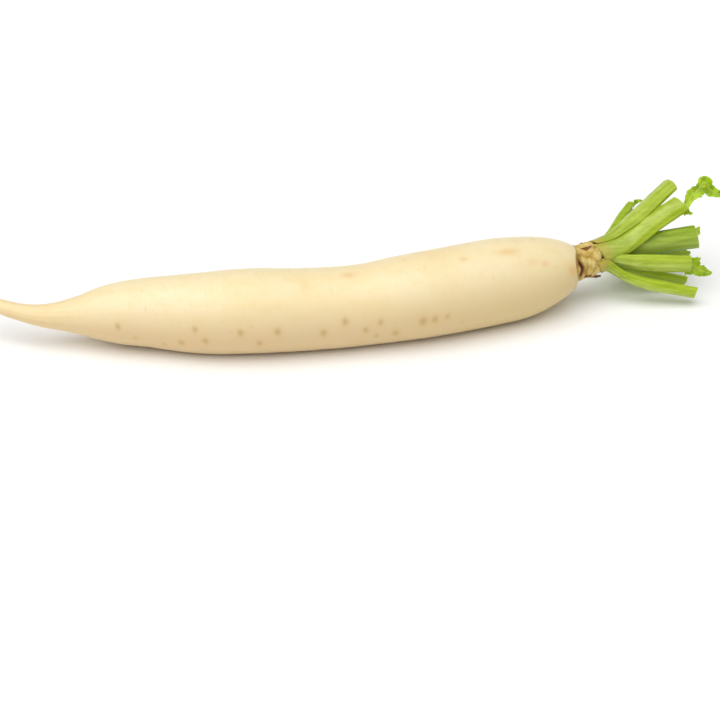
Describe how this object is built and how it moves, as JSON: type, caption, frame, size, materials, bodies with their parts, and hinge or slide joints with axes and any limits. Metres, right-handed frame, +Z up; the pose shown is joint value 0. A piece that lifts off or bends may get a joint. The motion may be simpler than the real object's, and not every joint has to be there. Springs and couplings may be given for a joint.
{
  "type": "daikon radish",
  "caption": "Long white daikon radish root with a tapering tail, a brown crown and a fan of cut green leaf stalks.",
  "frame": {"origin": "on the flat strip of the belly that the root rests on, under its thickest part", "axes": "+X along the root from the tail to the leaf stalks, +Y to the inside of the root's bend, +Z up"},
  "size_m": [0.5776, 0.1165, 0.0801],
  "materials": {
    "root_skin": "satin",
    "leaf_stalk": "satin",
    "leaf_blade": "matte",
    "dry_leaf": "matte"
  },
  "bodies": {
    "root": {"taproot": "root_skin", "leaf_stalk_01": "leaf_stalk", "leaf_stalk_02": "leaf_stalk", "leaf_stalk_03": "leaf_stalk", "leaf_stalk_04": "leaf_stalk", "leaf_stalk_05": "leaf_stalk", "leaf_stalk_06": "leaf_stalk", "leaf_stalk_07": "leaf_stalk", "leaf_stalk_08": "leaf_stalk", "leaf_stalk_09": "leaf_stalk", "leaf_stalk_10": "leaf_stalk", "leaf_stalk_11": "leaf_stalk", "leaf_stalk_12": "leaf_stalk", "leaf_stalk_13": "leaf_stalk", "leaf_blade_01": "leaf_blade", "leaf_blade_02": "leaf_blade", "leaf_blade_03": "leaf_blade", "leaf_blade_04": "leaf_blade", "leaf_blade_05": "leaf_blade", "dry_leaf_base_1": "dry_leaf", "dry_leaf_base_2": "dry_leaf", "dry_leaf_base_3": "dry_leaf", "dry_leaf_base_4": "dry_leaf", "dry_leaf_base_5": "dry_leaf"}
  },
  "joints": []
}
